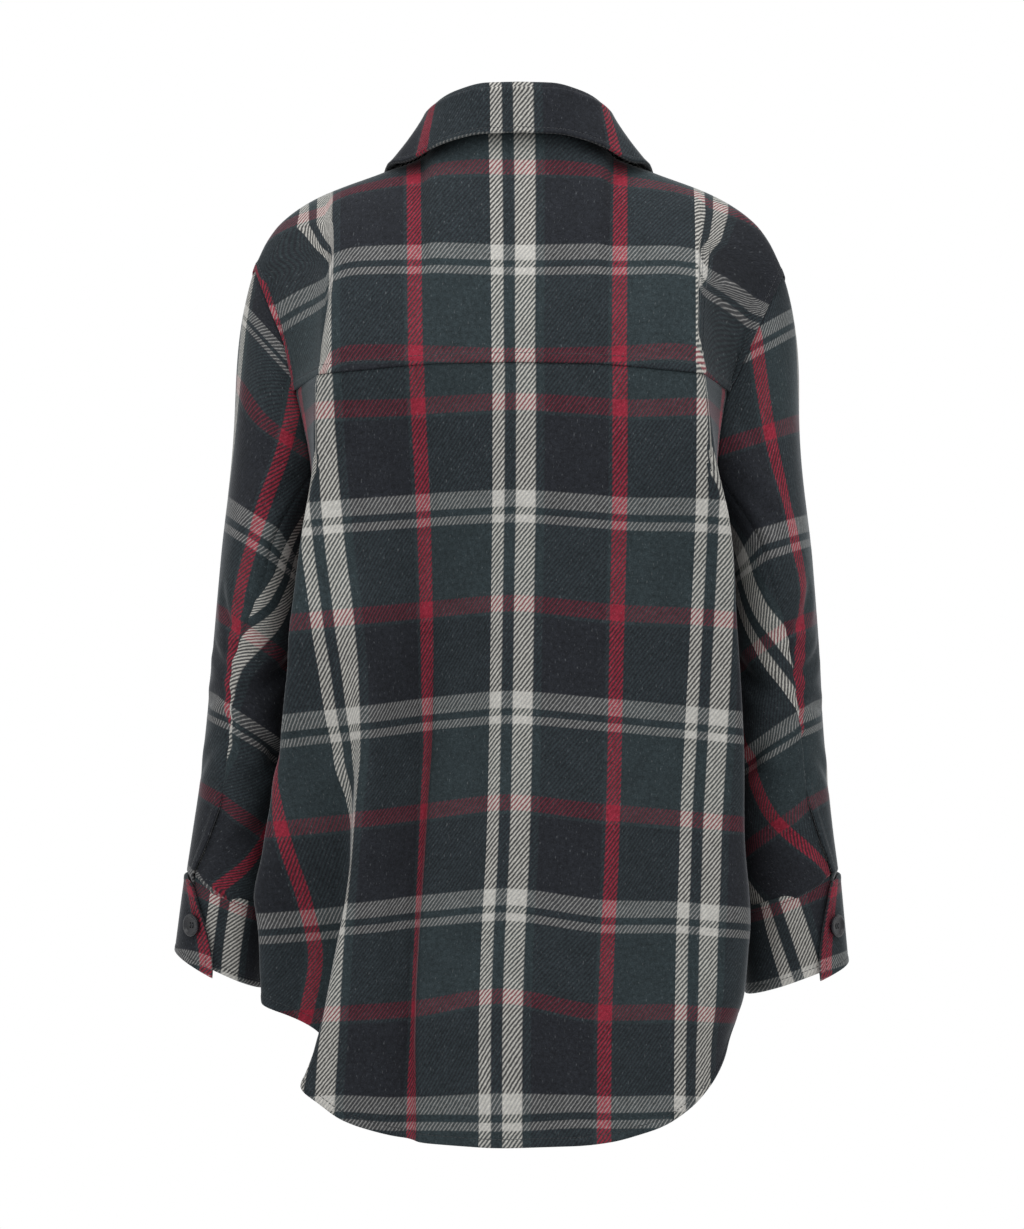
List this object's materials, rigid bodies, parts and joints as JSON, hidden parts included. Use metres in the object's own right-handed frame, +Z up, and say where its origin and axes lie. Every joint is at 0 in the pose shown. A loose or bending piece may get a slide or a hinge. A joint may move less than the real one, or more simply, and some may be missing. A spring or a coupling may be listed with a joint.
{
  "type": "checked wool overshirt",
  "caption": "Long-sleeved button-front overshirt in brushed checked wool, hollow as worn, with a back yoke, turned-down collar, buttoned cuffs and a rounded shirt-tail hem.",
  "frame": {"origin": "middle of the neck, on the line between the shoulder points where the wearer's shoulders carry the shirt", "axes": "+Z up, +Y towards the wearer's front, +X towards the wearer's right; the back faces -Y"},
  "size_m": [0.5647, 0.2796, 0.8588],
  "materials": {
    "cloth": "brushed twill",
    "button": "polished"
  },
  "bodies": {
    "root": {"back_yoke": "cloth", "back_body": "cloth", "front_left": "cloth", "front_right": "cloth", "collar_fall": "cloth", "collar_stand": "cloth", "top_sleeve_left": "cloth", "top_sleeve_right": "cloth", "under_sleeve_left": "cloth", "under_sleeve_right": "cloth", "cuff_left": "cloth", "cuff_right": "cloth", "button_cuff_left": "button", "button_cuff_right": "button", "button_front_1": "button", "button_front_2": "button", "button_front_3": "button", "button_front_4": "button", "button_front_5": "button", "button_front_6": "button"}
  },
  "joints": []
}
